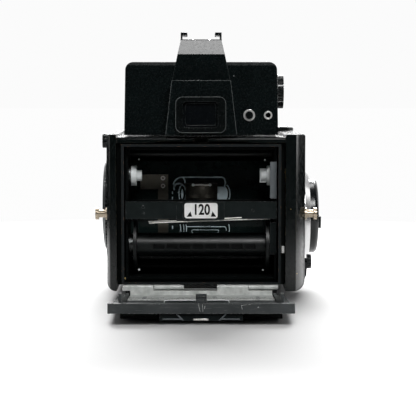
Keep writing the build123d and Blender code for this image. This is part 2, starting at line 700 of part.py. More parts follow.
def hot_shoe():
    plate = block((-10.2, 10.2), (22, 44), (SHOE_Z + 0.05, SHOE_Z + 0.7))
    for side in (-1, 1):
        wall = sorted((side * 9.4, side * 10.1))
        plate += block(wall, (24, 44), (SHOE_Z + 0.3, SHOE_Z + 4.2))
        plate += block(sorted((side * 6.9, side * 10.1)), (24, 44), (SHOE_Z + 2.85, SHOE_Z + 4.2))
    return plate


def meter_dial():
    shape = knurl_x(8.35, (37.6, 40.5), DIAL_DEPTH, DIAL_Z, 36)
    return shape + along_x(DIAL_PIN_R - RUN, (31, 38), DIAL_DEPTH, DIAL_Z)


def meter_button():
    return along_y(BUTTON_R - RUN, (FINDER_REAR - 1.6, FINDER_REAR + 2.4), BUTTON_X, BUTTON_Z)


def shutter_dial():
    outline = Pos(SPEED_X, deep(SPEED_DEPTH)) * star(8.8, 8.3, 36)
    shape = extrude(Plane.XY.offset(CASE_TOP + 0.3) * outline, 2.0, dir=(0, 0, 1))
    return shape + along_z(7.4, (CASE_TOP + 1, CASE_TOP + 2.6), SPEED_X, SPEED_DEPTH)


# ---------------------------------------------------------------- lens

def lens_barrel():
    shape = ring_y(31.0, 24.0, (FLANGE_DEPTH + 0.05, 108.4)) + ring_y(BARREL_R, 24.0, (108, 130))
    return shape + ring_y(24.1, 22.0, (FLANGE_DEPTH + 0.05, FLANGE_DEPTH + 4))


def rear_element():
    return along_y(21.9, (FLANGE_DEPTH + 0.3, FLANGE_DEPTH + 3.8), 0, LENS_Z)


def aperture_ring():
    d = (108.8, 115.0)
    return knurl_y(33.0, d, LENS_Z, 60) - along_y(BARREL_R + RING_PLAY, (100, 140), 0, LENS_Z)


def focus_ring():
    d = (115.4, 133.0)
    return knurl_y(34.6, d, LENS_Z, 72) - along_y(BARREL_R + RING_PLAY, (100, 140), 0, LENS_Z)


def front_barrel():
    shape = ring_y(32.4, 23.6, (133.4, 140)) + ring_y(31.0, 29.0, (140, 148.0))
    shape += ring_y(23.7, 19.5, (114, 140)) + ring_y(29.4, 19.5, (138.5, 140.0))
    return shape


def front_element():
    return along_y(19.3, (126, 139.7), 0, LENS_Z)


NODES = [
    body_frame, left_side_cover, right_side_cover, top_plate, base_plate, battery_cover, front_plate,
    lens_mount_ring, shutter_curtains, mirror_holder, mirror_glass, focusing_screen, hinge_leaf_body,
    hinge_pin, door_hinge_leaf, back_door, door_outer_panel, latch_housing, latch_slide,
    door_latch_cover, insert_frame, insert_back_plate, pressure_plate, upper_roller, lower_roller,
    insert_band, label_plate, insert_springs, film_spool, supply_studs, take_up_hub, take_up_idle_hub,
    wind_gear, idler_gear, spool_drive_gear, wind_base, crank_disc, crank_arm, multi_exposure_lever,
    reminder_dial, dial_cap, finder_release_button, strap_lugs, base_screws, prism_housing, pentaprism,
    eyepiece_frame, eyepiece_lens, hot_shoe, meter_dial, meter_button, shutter_dial, release_button,
    self_timer_lever, lens_barrel, rear_element, aperture_ring, focus_ring, front_barrel, front_element,
]

os.makedirs("parts", exist_ok=True)
for build in NODES:
    export_step(build(), f"parts/{build.__name__}.step")
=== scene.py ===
"""Looks of the medium format reflex camera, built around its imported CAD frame."""
import json
import math

import bmesh
import bpy
from mathutils import Matrix, Vector


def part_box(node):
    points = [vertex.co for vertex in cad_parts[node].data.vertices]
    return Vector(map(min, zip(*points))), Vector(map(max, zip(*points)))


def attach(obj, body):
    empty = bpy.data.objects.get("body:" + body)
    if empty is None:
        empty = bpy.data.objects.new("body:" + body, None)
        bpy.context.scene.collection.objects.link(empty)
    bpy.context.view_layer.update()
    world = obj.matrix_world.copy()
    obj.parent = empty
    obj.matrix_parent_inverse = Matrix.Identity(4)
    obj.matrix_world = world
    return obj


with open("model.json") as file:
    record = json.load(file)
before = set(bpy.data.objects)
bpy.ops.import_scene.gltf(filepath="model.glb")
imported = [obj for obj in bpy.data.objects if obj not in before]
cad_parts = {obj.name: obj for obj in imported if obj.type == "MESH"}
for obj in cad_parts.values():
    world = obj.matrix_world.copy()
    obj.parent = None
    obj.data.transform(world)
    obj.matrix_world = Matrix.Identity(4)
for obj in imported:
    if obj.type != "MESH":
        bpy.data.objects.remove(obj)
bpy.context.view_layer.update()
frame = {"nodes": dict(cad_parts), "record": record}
NODES = frame["nodes"]
MM = 0.001
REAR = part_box("body_frame")[0].y            # plane of the rear rim; depths count from it
scene = bpy.context.scene


def at(x, depth, z):
    """Point from millimetres: X, depth from the rear rim, height."""
    return Vector((x * MM, REAR + depth * MM, z * MM))


# ------------------------------------------------------------------ camera, stage and light

LENS_Z = 41.4                               # height of the lens axis, millimetres
EYE_DISTANCE, EYE_HEIGHT = 0.648, 0.09545   # from the rear rim, above the table
FOCAL, PITCH, YAW = 117.1, 4.56, 0.288      # millimetres on a 36 mm sensor, degrees


def make_camera():
    data = bpy.data.cameras.new("view")
    data.sensor_width, data.lens = 36.0, FOCAL
    cam = bpy.data.objects.new("view", data)
    scene.collection.objects.link(cam)
    cam.location = (0, REAR - EYE_DISTANCE, EYE_HEIGHT)
    cam.rotation_euler = (math.radians(90 - PITCH), 0, -math.radians(YAW))
    scene.camera = cam


BACKDROP = 0.98                             # brightness of the white seen round the object
FADE = (0.17, 0.4)                          # metres from the origin where the table turns white


def make_floor():
    """White table that takes shadow near the object and fades into the white beyond it."""
    bpy.ops.mesh.primitive_plane_add(size=30, location=(0, 0, 0))
    floor = bpy.context.object
    floor.name = "floor"
    mat, tree, bsdf = finish("floor_white", (0.86, 0.86, 0.86), 0.7, specular=0.1)
    coord = tree.nodes.new("ShaderNodeTexCoord")
    reach = tree.nodes.new("ShaderNodeVectorMath")
    reach.operation = "LENGTH"
    tree.links.new(coord.outputs["Object"], reach.inputs[0])
    fade = tree.nodes.new("ShaderNodeMapRange")
    fade.interpolation_type = "SMOOTHSTEP"
    fade.inputs["From Min"].default_value = FADE[0]
    fade.inputs["From Max"].default_value = FADE[1]
    tree.links.new(reach.outputs["Value"], fade.inputs["Value"])
    path = tree.nodes.new("ShaderNodeLightPath")
    glow = tree.nodes.new("ShaderNodeEmission")
    glow.inputs["Color"].default_value = (1, 1, 1, 1)
    strength = maths(tree, "MULTIPLY", path.outputs["Is Camera Ray"], BACKDROP)
    tree.links.new(strength, glow.inputs["Strength"])
    mix = tree.nodes.new("ShaderNodeMixShader")
    tree.links.new(fade.outputs[0], mix.inputs[0])
    tree.links.new(bsdf.outputs[0], mix.inputs[1])
    tree.links.new(glow.outputs[0], mix.inputs[2])
    tree.links.new(mix.outputs[0], tree.nodes["Material Output"].inputs[0])
    floor.data.materials.append(mat)
    return floor


def soft_light(name, location, target, size, power):
    data = bpy.data.lights.new(name, "AREA")
    data.shape, data.size, data.size_y, data.energy = "RECTANGLE", size[0], size[1], power
    lamp = bpy.data.objects.new(name, data)
    scene.collection.objects.link(lamp)
    lamp.location = location
    aim = Vector(target) - Vector(location)
    lamp.rotation_euler = aim.to_track_quat("-Z", "Y").to_euler()
    return lamp


def leave_floor_dark(lamp, floor):
    """Keeps a lamp off the table, so that it doesn't fill the shadow before the object."""
    spared = bpy.data.collections.new("spared_" + lamp.name)
    spared.objects.link(floor)
    spared.collection_objects[0].light_linking.link_state = "EXCLUDE"
    lamp.light_linking.receiver_collection = spared


def make_world():
    """White to the eye; as a light, bright above and behind the object and dim behind the viewer."""
    world = bpy.data.worlds.new("studio")
    scene.world = world
    world.use_nodes = True
    tree = world.node_tree
    tree.nodes.clear()
    out = tree.nodes.new("ShaderNodeOutputWorld")
    coord = tree.nodes.new("ShaderNodeTexCoord")
    split = tree.nodes.new("ShaderNodeSeparateXYZ")
    tree.links.new(coord.outputs["Generated"], split.inputs[0])
    ramp = tree.nodes.new("ShaderNodeMapRange")
    ramp.interpolation_type = "SMOOTHSTEP"
    ramp.inputs["From Min"].default_value = -0.2
    ramp.inputs["From Max"].default_value = 0.9
    ramp.inputs["To Min"].default_value = 0.01
    ramp.inputs["To Max"].default_value = 0.8
    tree.links.new(split.outputs["Y"], ramp.inputs["Value"])
    seen = tree.nodes.new("ShaderNodeBackground")
    seen.inputs["Color"].default_value = (1, 1, 1, 1)
    seen.inputs["Strength"].default_value = 0.965
    cast = tree.nodes.new("ShaderNodeBackground")
    cast.inputs["Color"].default_value = (1, 1, 1, 1)
    tree.links.new(ramp.outputs[0], cast.inputs["Strength"])
    path = tree.nodes.new("ShaderNodeLightPath")
    mix = tree.nodes.new("ShaderNodeMixShader")
    tree.links.new(path.outputs["Is Camera Ray"], mix.inputs[0])
    tree.links.new(cast.outputs[0], mix.inputs[1])
    tree.links.new(seen.outputs[0], mix.inputs[2])
    tree.links.new(mix.outputs[0], out.inputs[0])


def make_studio():
    make_camera()
    floor = make_floor()
    make_world()
    key = soft_light("key", (0.2, -0.9, 0.9), (0, -0.08, 0.03), (0.5, 0.3), 9)
    leave_floor_dark(key, floor)
    soft_light("back", (0, 1.25, 0.75), (0, -0.03, 0), (1.2, 0.4), 62)
    soft_light("top", (0, 0.5, 1.3), (0, 0, 0), (0.6, 0.4), 6)
    soft_light("side_left", (-1.15, 0.45, 0.3), (0, -0.05, 0.05), (0.3, 0.7), 0.6)
    soft_light("side_right", (1.15, 0.45, 0.35), (0, -0.05, 0.05), (0.3, 0.7), 1.8)
    scene.view_settings.view_transform = "Standard"


# ------------------------------------------------------------------ material building blocks

def finish(name, colour, rough, metallic=0.0, specular=0.5, coat=0.0):
    """New material; returns it with its tree and its surface node."""
    mat = bpy.data.materials.new(name)
    mat.use_nodes = True
    bsdf = mat.node_tree.nodes["Principled BSDF"]
    bsdf.inputs["Base Color"].default_value = (*colour, 1)
    bsdf.inputs["Roughness"].default_value = rough
    bsdf.inputs["Metallic"].default_value = metallic
    bsdf.inputs["Specular IOR Level"].default_value = specular
    bsdf.inputs["Coat Weight"].default_value = coat
    return mat, mat.node_tree, bsdf


def place(tree, stretch=(1, 1, 1), offset=(0, 0, 0)):
    """Object coordinates in millimetres, stretched per axis."""
    coord = tree.nodes.new("ShaderNodeTexCoord")
    scale = tree.nodes.new("ShaderNodeMapping")
    scale.inputs["Scale"].default_value = [1000 * s for s in stretch]
    scale.inputs["Location"].default_value = offset
    tree.links.new(coord.outputs["Object"], scale.inputs["Vector"])
    return scale.outputs[0]


def noise(tree, scale, detail=4.0, rough=0.55, stretch=(1, 1, 1), offset=(0, 0, 0)):
    node = tree.nodes.new("ShaderNodeTexNoise")
    node.inputs["Scale"].default_value = scale
    node.inputs["Detail"].default_value = detail
    node.inputs["Roughness"].default_value = rough
    tree.links.new(place(tree, stretch, offset), node.inputs["Vector"])
    return node.outputs["Fac"]


def cells(tree, scale, feature="DISTANCE_TO_EDGE", stretch=(1, 1, 1)):
    node = tree.nodes.new("ShaderNodeTexVoronoi")
    node.feature = feature
    node.inputs["Scale"].default_value = scale
    tree.links.new(place(tree, stretch), node.inputs["Vector"])
    return node.outputs["Distance"]


def remap(tree, value, low, high, start=0.0, end=1.0):
    node = tree.nodes.new("ShaderNodeMapRange")
    for key, number in (("From Min", low), ("From Max", high), ("To Min", start), ("To Max", end)):
        node.inputs[key].default_value = number
    tree.links.new(value, node.inputs["Value"])
    return node.outputs[0]


def maths(tree, operation, a, b):
    node = tree.nodes.new("ShaderNodeMath")
    node.operation = operation
    for socket, value in zip(node.inputs, (a, b)):
        if isinstance(value, (int, float)):
            socket.default_value = value
        else:
            tree.links.new(value, socket)
    return node.outputs[0]


def blend_colours(tree, factor, a, b):
    node = tree.nodes.new("ShaderNodeMix")
    node.data_type = "RGBA"
    tree.links.new(factor, node.inputs[0])
    for socket, value in ((node.inputs[6], a), (node.inputs[7], b)):
        if isinstance(value, tuple):
            socket.default_value = (*value, 1)
        else:
            tree.links.new(value, socket)
    return node.outputs[2]


def relief(tree, bsdf, height, strength, distance):
    """Bump from a height; distance in millimetres."""
    node = tree.nodes.new("ShaderNodeBump")
    node.inputs["Strength"].default_value = strength
    node.inputs["Distance"].default_value = distance * MM
    tree.links.new(height, node.inputs["Height"])
    tree.links.new(node.outputs[0], bsdf.inputs["Normal"])


def edge_mask(tree, radius=0.35, low=0.02, high=0.12):
    """One along the piece's edges, zero on its flats."""
    soft = tree.nodes.new("ShaderNodeBevel")
    soft.samples = 4
    soft.inputs["Radius"].default_value = radius * MM
    geometry = tree.nodes.new("ShaderNodeNewGeometry")
    dot = tree.nodes.new("ShaderNodeVectorMath")
    dot.operation = "DOT_PRODUCT"
    tree.links.new(soft.outputs[0], dot.inputs[0])
    tree.links.new(geometry.outputs["Normal"], dot.inputs[1])
    return remap(tree, maths(tree, "SUBTRACT", 1.0, dot.outputs["Value"]), low, high)


def height_band(tree, axis, low, high, soft=0.3):
    """One where an object coordinate, in millimetres, lies between two limits."""
    split = tree.nodes.new("ShaderNodeSeparateXYZ")
    tree.links.new(place(tree), split.inputs[0])
    value = split.outputs[axis]
    rise = remap(tree, value, low - soft, low + soft)
    fall = remap(tree, value, high - soft, high + soft, 1.0, 0.0)
    return maths(tree, "MULTIPLY", rise, fall)


def vary(tree, bsdf, base, other, scale=0.2, low=0.35, high=0.7):
    """Cloudy change of colour over the surface."""
    colour = blend_colours(tree, remap(tree, noise(tree, scale), low, high), base, other)
    tree.links.new(colour, bsdf.inputs["Base Color"])
    return colour


def rough_clouds(tree, bsdf, low, high, scale=0.6, stretch=(1, 1, 1)):
    tree.links.new(remap(tree, noise(tree, scale, 6.0, 0.65, stretch), 0.3, 0.7, low, high),
                   bsdf.inputs["Roughness"])


# ------------------------------------------------------------------ materials

def painted(name, colour, rough, wear=(0.35, 0.3, 0.2), wear_amount=0.55, grain=0.02, specular=0.12):
    """Enamel with fine orange peel, dusty roughness and edges rubbed towards bare metal."""
    mat, tree, bsdf = finish(name, colour, rough, specular=specular)
    lighter = tuple(min(1.0, c * 1.5 + 0.001) for c in colour)
    base = blend_colours(tree, remap(tree, noise(tree, 0.15), 0.4, 0.75), colour, lighter)
    patchy = remap(tree, noise(tree, 0.9, 6.0, 0.7), 0.62 - 0.2 * wear_amount, 0.7)
    worn = maths(tree, "MULTIPLY", edge_mask(tree), patchy)
    tree.links.new(blend_colours(tree, worn, base, wear), bsdf.inputs["Base Color"])
    tree.links.new(worn, bsdf.inputs["Metallic"])
    rough_clouds(tree, bsdf, rough - 0.07, rough + 0.1)
    relief(tree, bsdf, noise(tree, 6.0, 3.0), 0.25, grain)
    return mat


def leatherette(name, colour):
    """Grained covering: rounded pebbles between creases."""
    mat, tree, bsdf = finish(name, colour, 0.5, specular=0.15)
    pebbles = remap(tree, cells(tree, 1.1), 0.0, 0.25)
    fine = noise(tree, 5.0, 4.0)
    height = maths(tree, "ADD", pebbles, maths(tree, "MULTIPLY", fine, 0.3))
    relief(tree, bsdf, height, 0.8, 0.12)
    dusty = tuple(c * 2.2 + 0.004 for c in colour)
    tree.links.new(blend_colours(tree, pebbles, dusty, colour), bsdf.inputs["Base Color"])
    rough_clouds(tree, bsdf, 0.42, 0.62)
    return mat


def moulded(name, colour, rough, grain=0.03, scale=8.0, specular=0.14, edge_highlight=None):
    """Moulded plastic with a fine spark-eroded texture; the last argument, when given, is a lighter colour
    painted along the edges as a highlight, where rounded edges catch the light.
    """
    mat, tree, bsdf = finish(name, colour, rough, specular=specular)
    base = vary(tree, bsdf, colour, tuple(c * 1.35 + 0.0006 for c in colour), 0.12)
    if edge_highlight:
        # Painted highlight: the edges are lightened in patches, as if they caught the light.
        patchy = remap(tree, noise(tree, 0.4, 5.0), 0.3, 0.55)
        painted_highlight = maths(tree, "MULTIPLY", edge_mask(tree, 0.3), patchy)
        tree.links.new(blend_colours(tree, painted_highlight, base, edge_highlight), bsdf.inputs["Base Color"])
    rough_clouds(tree, bsdf, rough - 0.05, rough + 0.08, 0.8)
    relief(tree, bsdf, noise(tree, scale, 3.0), 0.35, grain)
    return mat


def brushed(name, colour, rough, stretch=(0.05, 1, 1), dirt=(0.1, 0.09, 0.08), metallic=1.0):
    """Metal with lay lines along one axis and grime in patches."""
    mat, tree, bsdf = finish(name, colour, rough, metallic=metallic)
    lines = noise(tree, 9.0, 5.0, 0.6, stretch)
    grime = remap(tree, noise(tree, 0.5, 6.0, 0.7), 0.58, 0.8, 0.0, 0.8)
    tree.links.new(blend_colours(tree, grime, colour, dirt), bsdf.inputs["Base Color"])
    tree.links.new(remap(tree, lines, 0.3, 0.7, rough - 0.1, rough + 0.14), bsdf.inputs["Roughness"])
    relief(tree, bsdf, lines, 0.25, 0.02)
    return mat


def glass_coated(name, colour, rough=0.06):
    """Coated optical glass, drawn as a dark reflecting surface with depth."""
    mat, tree, bsdf = finish(name, colour, rough, specular=0.3, coat=0.2)
    dust = remap(tree, noise(tree, 1.2, 6.0, 0.7), 0.5, 0.85)
    tree.links.new(blend_colours(tree, dust, colour, (0.02, 0.024, 0.024)), bsdf.inputs["Base Color"])
    tree.links.new(remap(tree, noise(tree, 0.3), 0.3, 0.8, rough, rough + 0.06), bsdf.inputs["Roughness"])
    bsdf.inputs["Coat Roughness"].default_value = 0.03
    return mat


# Colour of the painted highlight laid along the edges of the black plastic parts.
PAINTED_EDGE_HIGHLIGHT = (0.07, 0.08, 0.08)


def bare_hinge_alloy():
    """Bare sheet with crumbled foam left along its free edge. Its pale, nearly non-metallic colour is partly
    the metal's own tone and partly a painted reflection of the bright surroundings.
    """
    mat, tree, bsdf = finish("bare_alloy", (0.6, 0.6, 0.58), 0.45, metallic=0.1)
    cloudy = remap(tree, noise(tree, 0.25, 6.0), 0.35, 0.7)
    # Pale cloudy tone: partly the bare metal's own colour, partly painted reflection.
    cloud = blend_colours(tree, cloudy, (0.72, 0.74, 0.72), (0.45, 0.47, 0.45))
    crumbs = remap(tree, noise(tree, 0.9, 9.0, 0.8), 0.53, 0.56)
    near_edge = height_band(tree, 1, REAR / MM - 24.0, REAR / MM - 13.0, 4.0)
    specks = maths(tree, "MULTIPLY", crumbs, near_edge)
    specked = blend_colours(tree, specks, cloud, (0.012, 0.014, 0.013))
    tree.links.new(specked, bsdf.inputs["Base Color"])
    rough_clouds(tree, bsdf, 0.35, 0.6, 1.2)
    relief(tree, bsdf, noise(tree, 2.6, 8.0, 0.75), 0.4, 0.06)
    return mat


def worn_door_paint():
    """Charcoal lacquer, hazed by handling, with fine scratches and rubbed edges."""
    mat, tree, bsdf = finish("door_paint", (0.04, 0.044, 0.046), 0.42, specular=0.2)
    cloudy = remap(tree, noise(tree, 0.1, 5.0), 0.3, 0.7)
    haze = blend_colours(tree, cloudy, (0.04, 0.045, 0.046), (0.066, 0.072, 0.074))
    hair = noise(tree, 1.4, 3.0, 0.5, (0.12, 0.3, 6.0))
    hair = remap(tree, hair, 0.66, 0.7, 0.0, 0.35)
    scratched = blend_colours(tree, hair, haze, (0.3, 0.31, 0.31))
    patchy = remap(tree, noise(tree, 1.3, 7.0, 0.75), 0.5, 0.62)
    chips = maths(tree, "MULTIPLY", edge_mask(tree, 0.4), patchy)
    tree.links.new(blend_colours(tree, chips, scratched, (0.55, 0.55, 0.53)), bsdf.inputs["Base Color"])
    rough_clouds(tree, bsdf, 0.34, 0.55, 0.4)
    relief(tree, bsdf, noise(tree, 4.0, 4.0), 0.25, 0.03)
    return mat


def chamber_black():
    """Matt black casting; the rim's paint is rubbed through to copper-coloured metal."""
    mat, tree, bsdf = finish("chamber_paint", (0.0012, 0.002, 0.0018), 0.5, specular=0.06)
    rim_depth = height_band(tree, 1, REAR / MM - 1.0, REAR / MM + 0.5, 0.2)
    patchy = remap(tree, noise(tree, 0.55, 7.0, 0.7), 0.55, 0.64)
    worn = maths(tree, "MULTIPLY", maths(tree, "MULTIPLY", edge_mask(tree, 0.3), patchy), rim_depth)
    base = blend_colours(tree, rim_depth, (0.0012, 0.002, 0.0018), (0.016, 0.019, 0.02))
    tree.links.new(blend_colours(tree, worn, base, (0.35, 0.2, 0.12)), bsdf.inputs["Base Color"])
    rough_clouds(tree, bsdf, 0.42, 0.6)
    relief(tree, bsdf, noise(tree, 7.0, 3.0), 0.3, 0.02)
    return mat


MATERIALS = {
    "chamber_paint": chamber_black,
    "body_paint": lambda: painted("body_paint", (0.003, 0.0046, 0.0046), 0.16, specular=0.5),
    "base_metal": lambda: painted("base_metal", (0.006, 0.007, 0.007), 0.38),
    "door_paint": worn_door_paint,
    "covering": lambda: leatherette("covering", (0.004, 0.005, 0.0048)),
    "chrome": lambda: brushed("chrome", (0.88, 0.88, 0.86), 0.24, (1, 1, 1), (0.4, 0.38, 0.34), 0.5),
    "curtain": lambda: moulded("curtain", (0.006, 0.006, 0.007), 0.7, 0.05, 5.0),
    "black_steel": lambda: painted("black_steel", (0.003, 0.0035, 0.0035), 0.45, (0.2, 0.2, 0.2)),
    "mirror": lambda: brushed("mirror", (0.9, 0.9, 0.92), 0.12, (1, 1, 1), (0.8, 0.8, 0.82)),
    "screen_glass": lambda: moulded("screen_glass", (0.55, 0.6, 0.6), 0.35, 0.01, 12.0),
    "bare_alloy": bare_hinge_alloy,
    "latch_metal": lambda: painted("latch_metal", (0.005, 0.0075, 0.0078), 0.3, (0.4, 0.4, 0.4), 0.9),
    "insert_plastic": lambda: moulded("insert_plastic", (0.0018, 0.0028, 0.0027), 0.42, specular=0.08),
    "gloss_black": lambda: moulded("gloss_black", (0.0045, 0.0085, 0.008), 0.16, 0.004, 3.0, 0.3),
    "roller_metal": lambda: brushed("roller_metal", (0.1, 0.105, 0.106), 0.3),
    "dull_chrome": lambda: brushed("dull_chrome", (0.5, 0.5, 0.5), 0.22),
    "lug_brass": lambda: brushed("lug_brass", (0.5, 0.42, 0.32), 0.26, (1, 1, 1), (0.12, 0.09, 0.07), 0.7),
    "band_metal": lambda: painted("band_metal", (0.009, 0.0125, 0.0125), 0.36, (0.3, 0.3, 0.3), 0.8),
    "label_white": lambda: moulded("label_white", (0.8, 0.8, 0.79), 0.4, 0.01, 6.0),
    "bronze": lambda: brushed("bronze", (0.17, 0.16, 0.135), 0.34, (1, 1, 0.1), (0.05, 0.045, 0.04)),
    "spool_plastic": lambda: moulded("spool_plastic", (0.0035, 0.0048, 0.005), 0.38, 0.001, 2.0, 0.4),
    "hub_plastic": lambda: moulded("hub_plastic", (0.72, 0.75, 0.75), 0.35, 0.01, 3.0),
    "gear_brass": lambda: brushed("gear_brass", (0.5, 0.38, 0.17), 0.3),
    "control_black": lambda: moulded("control_black", (0.0022, 0.0034, 0.0034), 0.22, 0.01, 6.0, 0.45,
                                     PAINTED_EDGE_HIGHLIGHT),
    "finder_plastic": lambda: moulded("finder_plastic", (0.002, 0.0042, 0.0044), 0.24, 0.002, 9.0, 0.4,
                                      PAINTED_EDGE_HIGHLIGHT),
    "prism_glass": lambda: glass_coated("prism_glass", (0.003, 0.004, 0.005)),
    "lens_black": lambda: painted("lens_black", (0.005, 0.005, 0.005), 0.35, (0.3, 0.3, 0.3), 0.3),
    "lens_rubber": lambda: moulded("lens_rubber", (0.012, 0.012, 0.012), 0.6, 0.06, 6.0),
    "lens_glass": lambda: glass_coated("lens_glass", (0.006, 0.004, 0.014)),
    "ink_blue": lambda: moulded("ink_blue", (0.5, 0.6, 0.64), 0.45, 0.01, 6.0),
    "ink_black": lambda: moulded("ink_black", (0.006, 0.006, 0.006), 0.5, 0.01, 6.0),
    "ink_white": lambda: moulded("ink_white", (0.75, 0.75, 0.73), 0.5, 0.01, 6.0),
    "ink_red": lambda: moulded("ink_red", (0.5, 0.03, 0.02), 0.4, 0.01, 6.0),
    "bright_pin": lambda: brushed("bright_pin", (0.8, 0.78, 0.75), 0.3, (1, 1, 1), (0.5, 0.47, 0.43), 0.6),
    # Painted highlight: light-grey colour for wires laid along edges that catch the light.
    "edge_glint": lambda: moulded("edge_glint", (0.1, 0.11, 0.11), 0.3, 0.002, 4.0, 0.5),
    "bar_grey": lambda: painted("bar_grey", (0.14, 0.155, 0.165), 0.4, (0.5, 0.5, 0.5)),
}
MADE = {}


def material(slot):
    if slot not in MADE:
        MADE[slot] = MATERIALS[slot]()
    return MADE[slot]


# ------------------------------------------------------------------ CAD nodes

EDGE_WIDTH = {"default": 0.16, "body_frame": 0.25, "prism_housing": 0.7, "left_side_cover": 0.5,
              "right_side_cover": 0.6, "back_door": 0.35, "insert_band": 0.08, "label_plate": 0.05,
              "top_plate": 0.3, "front_plate": 0.5, "insert_springs": 0.05, "idler_gear": 0.05,
              "wind_gear": 0.05, "spool_drive_gear": 0.05, "door_hinge_leaf": 0.1, "hot_shoe": 0.12}


LOOKS = {"wind_base": "dull_chrome", "finder_release_button": "control_black", "strap_lugs": "lug_brass"}
SMOOTH_NODES = ("film_spool", "upper_roller", "lower_roller")


def dress_node(name, slot):
    """Gives a CAD node its material and rounds its sharp edges with modifiers only."""
    obj = NODES[name]
    mesh = obj.data
    mesh.materials.clear()
    mesh.materials.append(material(LOOKS.get(name, slot)))
    if name in SMOOTH_NODES:
        return
    if "custom_normal" in mesh.attributes:
        mesh.attributes.remove(mesh.attributes["custom_normal"])
    mesh.polygons.foreach_set("use_smooth", [True] * len(mesh.polygons))
    weld = obj.modifiers.new("weld", "WELD")
    weld.merge_threshold = 2e-6
    bevel = obj.modifiers.new("bevel", "BEVEL")
    bevel.width = EDGE_WIDTH.get(name, EDGE_WIDTH["default"]) * MM
    bevel.segments = 2
    bevel.limit_method = "ANGLE"
    bevel.angle_limit = math.radians(35)
    bevel.harden_normals = True


def dress_nodes():
    for row in frame["record"]["subparts"]:
        dress_node(row["node"], row["material_slot"])


# ------------------------------------------------------------------ making pieces


def add_piece(name, mesh, look, body, edge=0.0):
    """Puts a finished mesh on a body, with the record's slot where its look is one of them."""
    obj = bpy.data.objects.new(name, mesh)
    scene.collection.objects.link(obj)
    mesh.materials.clear()
    mesh.materials.append(material(look))
    if edge:
        bevel = obj.modifiers.new("bevel", "BEVEL")
        bevel.width = edge * MM
        bevel.segments = 2
        bevel.limit_method = "ANGLE"
        bevel.angle_limit = math.radians(30)
    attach(obj, body)
    return obj


def mesh_of(name, verts, faces, smooth=False):
    mesh = bpy.data.meshes.new(name)
    mesh.from_pydata([tuple(v) for v in verts], [], faces)
    mesh.validate()
    mesh.update()
    if smooth:
        mesh.polygons.foreach_set("use_smooth", [True] * len(mesh.polygons))
    return mesh


def face_outward(mesh):
    solid = bmesh.new()
    solid.from_mesh(mesh)
    bmesh.ops.recalc_face_normals(solid, faces=solid.faces)
    solid.to_mesh(mesh)
    solid.free()
    return mesh


def prism_mesh(name, lower, upper):
    """Closed solid between two outlines of equal count."""
    count = len(lower)
    faces = [tuple(range(count)), tuple(range(2 * count - 1, count - 1, -1))]
    for k in range(count):
        after = (k + 1) % count
        faces.append((k, k + count, after + count, after))
    mesh = mesh_of(name, list(lower) + list(upper), faces)
    return face_outward(mesh)


def rear_plate(name, outline, depths):
    """Outline of (X, height) seen from behind, through a pair of depths."""
    near = [at(x, depths[0], z) for x, z in outline]
    far = [at(x, depths[1], z) for x, z in outline]
    return prism_mesh(name, near, far)


def rectangle(x, z, radius=0.0, steps=4):
    if not radius:
        return [(x[0], z[0]), (x[1], z[0]), (x[1], z[1]), (x[0], z[1])]
    points = []
    corners = ((x[1] - radius, z[0] + radius, -90), (x[1] - radius, z[1] - radius, 0),
               (x[0] + radius, z[1] - radius, 90), (x[0] + radius, z[0] + radius, 180))
    for cx, cz, turn in corners:
        for k in range(steps + 1):
            angle = math.radians(turn + 90 * k / steps)
            points.append((cx + radius * math.cos(angle), cz + radius * math.sin(angle)))
    return points


AXES = {"X": (Vector((1, 0, 0)), Vector((0, 1, 0)), Vector((0, 0, 1))),
        "Y": (Vector((0, 1, 0)), Vector((1, 0, 0)), Vector((0, 0, 1))),
        "Z": (Vector((0, 0, 1)), Vector((1, 0, 0)), Vector((0, 1, 0)))}


def turned(name, profile, axis, centre, segments=40):
    """Closed ring turned from a profile of (along, radius) round an axis."""
    along, first, second = AXES[axis]
    verts = []
    for k in range(segments):
        angle = 2 * math.pi * k / segments
        out = first * math.cos(angle) + second * math.sin(angle)
        verts += [centre + along * (a * MM) + out * (r * MM) for a, r in profile]
    count = len(profile)
    faces = []
    for k in range(segments):
        here, there = k * count, ((k + 1) % segments) * count
        for j in range(count):
            after = (j + 1) % count
            faces.append((here + j, here + after, there + after, there + j))
    mesh = mesh_of(name, verts, faces)
    return face_outward(mesh)


def ring(name, outer, inner, rise, axis, centre, look, body, edge=0.12):
    """Raised ring of rectangular section with softened edges."""
    profile = [(0, inner), (0, outer), (rise, outer), (rise, inner)]
    return add_piece(name, turned(name, profile, axis, centre), look, body, edge)


def from_curve(name, data):
    """Mesh of a curve or text, which is then thrown away."""
    holder = bpy.data.objects.new(name + "_curve", data)
    scene.collection.objects.link(holder)
    bpy.context.view_layer.update()
    mesh = bpy.data.meshes.new_from_object(holder.evaluated_get(bpy.context.evaluated_depsgraph_get()))
    bpy.data.objects.remove(holder)
    return mesh


def wire(name, points, radius, look, body, cyclic=False):
    """Round wire through points."""
    data = bpy.data.curves.new(name, "CURVE")
    data.dimensions = "3D"
    data.bevel_depth = radius * MM
    data.bevel_resolution = 2
    data.use_fill_caps = True
    spline = data.splines.new("POLY")
    spline.points.add(len(points) - 1)
    for target, point in zip(spline.points, points):
        target.co = (*point, 1)
    spline.use_cyclic_u = cyclic
    mesh = from_curve(name, data)
    mesh.polygons.foreach_set("use_smooth", [True] * len(mesh.polygons))
    return add_piece(name, mesh, look, body)


